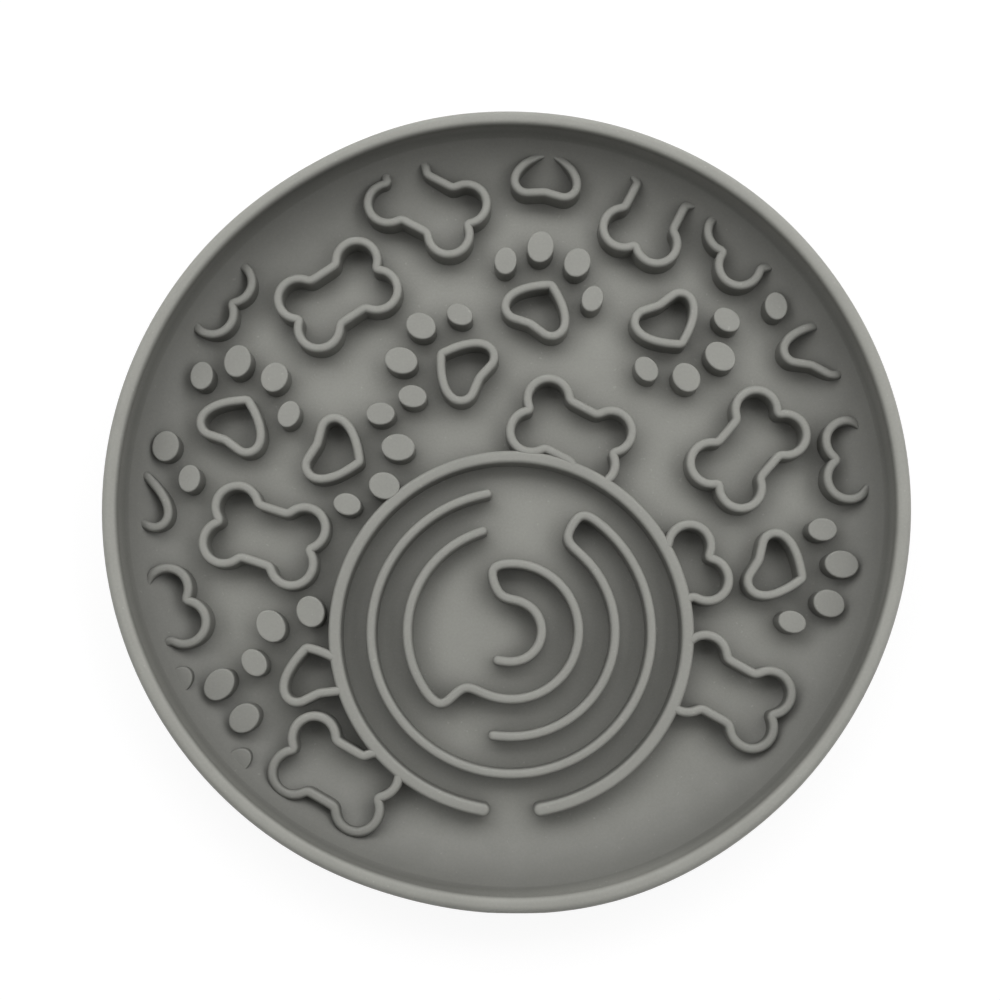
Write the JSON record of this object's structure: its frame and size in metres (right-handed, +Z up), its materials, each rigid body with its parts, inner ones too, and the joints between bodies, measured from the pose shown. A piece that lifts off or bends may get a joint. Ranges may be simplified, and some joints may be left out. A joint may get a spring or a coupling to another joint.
{
  "type": "maze slow feeder bowl",
  "caption": "Shallow round silicone slow feeder dish with a beaded rim, raised bone and paw outlines, oval toe studs, a round maze and suction cups underneath.",
  "frame": {"origin": "centre of the plane that the suction cups stand on", "axes": "+Z up out of the open dish, +X to the right and +Y to the far edge as the picture shows it"},
  "size_m": [0.2, 0.2, 0.0194],
  "materials": {
    "silicone_floor": "matte moulded silicone",
    "silicone_rim": "satin moulded silicone",
    "silicone_walls": "matte moulded silicone",
    "silicone_studs": "matte moulded silicone"
  },
  "bodies": {
    "root": {"bone_wall_01": "silicone_walls", "bone_wall_02": "silicone_walls", "bone_wall_03": "silicone_walls", "bone_wall_04": "silicone_walls", "bone_wall_05": "silicone_walls", "bone_wall_06": "silicone_walls", "bone_wall_07": "silicone_walls", "bone_wall_08": "silicone_walls", "bone_wall_09": "silicone_walls", "bone_wall_10": "silicone_walls", "bone_wall_11": "silicone_walls", "bone_wall_12": "silicone_walls", "bone_wall_13": "silicone_walls", "floor_disc": "silicone_floor", "maze_centre_wall": "silicone_walls", "maze_middle_wall": "silicone_walls", "maze_outer_ring": "silicone_walls", "paw_pad_01": "silicone_walls", "paw_pad_02": "silicone_walls", "paw_pad_03": "silicone_walls", "paw_pad_04": "silicone_walls", "paw_pad_05": "silicone_walls", "paw_pad_06": "silicone_walls", "paw_pad_07": "silicone_walls", "paw_pad_08": "silicone_walls", "paw_pad_09": "silicone_walls", "paw_pad_10": "silicone_walls", "rim_ring": "silicone_rim", "toe_stud_01": "silicone_studs", "toe_stud_02": "silicone_studs", "toe_stud_03": "silicone_studs", "toe_stud_04": "silicone_studs", "toe_stud_05": "silicone_studs", "toe_stud_06": "silicone_studs", "toe_stud_07": "silicone_studs", "toe_stud_08": "silicone_studs", "toe_stud_09": "silicone_studs", "toe_stud_10": "silicone_studs", "toe_stud_11": "silicone_studs", "toe_stud_12": "silicone_studs", "toe_stud_13": "silicone_studs", "toe_stud_14": "silicone_studs", "toe_stud_15": "silicone_studs", "toe_stud_16": "silicone_studs", "toe_stud_17": "silicone_studs", "toe_stud_18": "silicone_studs", "toe_stud_19": "silicone_studs", "toe_stud_20": "silicone_studs", "toe_stud_21": "silicone_studs", "toe_stud_22": "silicone_studs", "toe_stud_23": "silicone_studs", "toe_stud_24": "silicone_studs", "toe_stud_25": "silicone_studs", "toe_stud_26": "silicone_studs", "toe_stud_27": "silicone_studs", "toe_stud_28": "silicone_studs", "toe_stud_29": "silicone_studs", "toe_stud_30": "silicone_studs", "toe_stud_31": "silicone_studs", "toe_stud_32": "silicone_studs"}
  },
  "joints": []
}
